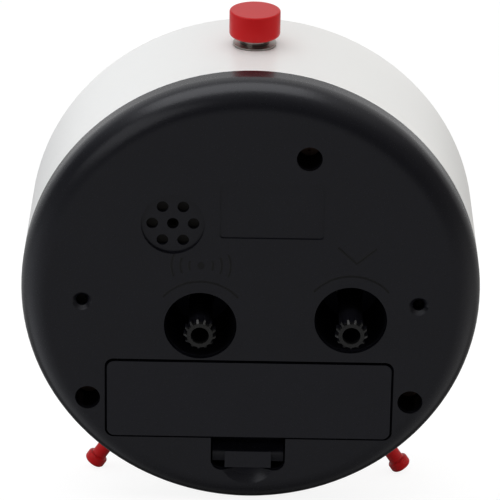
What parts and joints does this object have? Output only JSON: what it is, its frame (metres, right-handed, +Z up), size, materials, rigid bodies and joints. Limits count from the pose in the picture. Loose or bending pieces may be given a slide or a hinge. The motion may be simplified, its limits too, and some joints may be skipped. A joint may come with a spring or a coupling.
{
  "type": "alarm clock",
  "caption": "Round retro alarm clock leaning back on peg feet, with a push button on top and setting knobs, a sound grille and a battery door on its back.",
  "frame": {"origin": "on the floor plane, midway across the clock and midway between its rearmost and foremost points", "axes": "+Z up, dial towards -Y, back towards +Y, +X to the right of somebody who faces the dial"},
  "size_m": [0.1, 0.0592, 0.1106],
  "materials": {
    "white_plastic": "smooth satin white",
    "black_plastic": "fine moulded texture, satin black",
    "red_paint": "smooth satin red",
    "bright_chrome": "polished",
    "spring_steel": "plain steel",
    "brass_plate": "plain brass",
    "clear_lens": "clear polished sheet",
    "dial_face": "matt off-white",
    "black_hand": "matt black",
    "red_hand": "satin red",
    "pale_plastic": "plain moulded",
    "magnet": "plain",
    "copper_wire": "fine enamelled wire",
    "board_green": "plain board",
    "cell_jacket": "plain jacket with no print"
  },
  "bodies": {
    "clock": {"drum_case": "white_plastic", "front_bezel": "white_plastic", "dial_spacer": "white_plastic", "lens": "clear_lens", "dial": "dial_face", "back_cover": "black_plastic", "case_screws": "brass_plate", "battery_cell": "cell_jacket", "battery_spring": "spring_steel", "battery_plate": "spring_steel", "sounder": "brass_plate", "foot_left": "red_paint", "foot_right": "red_paint", "foot_screws": "spring_steel", "button_bush": "bright_chrome", "bush_nut": "spring_steel", "button_spring": "spring_steel", "alarm_switch": "black_plastic", "movement_front": "pale_plastic", "movement_rear": "pale_plastic", "movement_screws": "spring_steel", "stator": "magnet", "coil_core": "magnet", "coil_bobbin": "pale_plastic", "coil_winding": "copper_wire", "circuit_board": "board_green", "chip": "black_plastic", "quartz_can": "spring_steel", "alarm_contact": "brass_plate"},
    "button": {"button_cap": "red_paint", "button_stem": "bright_chrome", "stem_collar": "spring_steel"},
    "door": {"battery_door": "black_plastic"},
    "latch": {"door_latch": "black_plastic"},
    "time_knob": {"time_spindle": "black_plastic"},
    "motion": {"motion_wheel": "pale_plastic"},
    "minute": {"minute_arbor": "pale_plastic", "minute_hand": "black_hand"},
    "hour": {"hour_wheel": "pale_plastic", "hour_hand": "black_hand"},
    "alarm_knob": {"alarm_spindle": "black_plastic"},
    "alarm": {"alarm_wheel": "pale_plastic", "alarm_hand": "red_hand"},
    "seconds": {"second_arbor": "pale_plastic", "second_hand": "red_hand"},
    "step": {"step_wheel": "pale_plastic"},
    "motor": {"rotor": "magnet"},
    "third": {"third_wheel": "pale_plastic"},
    "centre": {"centre_wheel": "pale_plastic"}
  },
  "joints": [
    {"name": "button_press", "type": "slide", "parent": "clock", "child": "button", "axis": [0, -0.1908, -0.9816], "range_m": [0, 0.0012], "stiffness_N_per_m": 400, "springref_m": -0.002, "deforming": ["button_spring"]},
    {"name": "door_swing", "type": "hinge", "parent": "clock", "child": "door", "pos_m": [0, 0.01735, 0.03288], "axis": [1, 0, 0], "range_deg": [0, 75]},
    {"name": "latch_bend", "type": "hinge", "parent": "door", "child": "latch", "pos_m": [0, 0.00922, 0.0149], "axis": [1, 0, 0], "range_deg": [0, 6], "stiffness_Nm_per_rad": 0.1},
    {"name": "time_turn", "type": "hinge", "parent": "clock", "child": "time_knob", "pos_m": [-0.02185, 0.01095, 0.04579], "axis": [0, 0.9816, -0.1908], "continuous": true},
    {"name": "motion_turn", "type": "hinge", "parent": "clock", "child": "motion", "pos_m": [-0.01103, 0.01264, 0.0545], "axis": [0, 0.9816, -0.1908], "continuous": true},
    {"name": "minute_turn", "type": "hinge", "parent": "clock", "child": "minute", "pos_m": [0, 0.01174, 0.04986], "axis": [0, 0.9816, -0.1908], "continuous": true},
    {"name": "hour_turn", "type": "hinge", "parent": "clock", "child": "hour", "pos_m": [0, 0.01174, 0.04986], "axis": [0, 0.9816, -0.1908], "continuous": true},
    {"name": "alarm_turn", "type": "hinge", "parent": "clock", "child": "alarm_knob", "pos_m": [0.0108, 0.01061, 0.04402], "axis": [0, 0.9816, -0.1908], "continuous": true},
    {"name": "alarm_hand_turn", "type": "hinge", "parent": "clock", "child": "alarm", "pos_m": [0, 0.01174, 0.04986], "axis": [0, 0.9816, -0.1908], "continuous": true},
    {"name": "second_turn", "type": "hinge", "parent": "clock", "child": "seconds", "pos_m": [0, 0.01174, 0.04986], "axis": [0, 0.9816, -0.1908], "continuous": true},
    {"name": "step_turn", "type": "hinge", "parent": "clock", "child": "step", "pos_m": [0.00525, 0.01348, 0.05879], "axis": [0, 0.9816, -0.1908], "continuous": true},
    {"name": "rotor_turn", "type": "hinge", "parent": "clock", "child": "motor", "pos_m": [0.01374, 0.01441, 0.0636], "axis": [0, 0.9816, -0.1908], "continuous": true},
    {"name": "third_turn", "type": "hinge", "parent": "clock", "child": "third", "pos_m": [-0.00369, 0.0098, 0.0399], "axis": [0, 0.9816, -0.1908], "continuous": true},
    {"name": "centre_turn", "type": "hinge", "parent": "clock", "child": "centre", "pos_m": [0, 0.01174, 0.04986], "axis": [0, 0.9816, -0.1908], "continuous": true}
  ],
  "couplings": [
    {"joint": "motion_turn", "follows": "time_turn", "ratio": -0.55556},
    {"joint": "minute_turn", "follows": "time_turn", "ratio": 1.6667},
    {"joint": "hour_turn", "follows": "time_turn", "ratio": 0.13889},
    {"joint": "alarm_hand_turn", "follows": "alarm_turn", "ratio": -0.5},
    {"joint": "step_turn", "follows": "second_turn", "ratio": -5},
    {"joint": "rotor_turn", "follows": "second_turn", "ratio": 30},
    {"joint": "third_turn", "follows": "second_turn", "ratio": -0.125},
    {"joint": "centre_turn", "follows": "second_turn", "ratio": 0.016667}
  ]
}
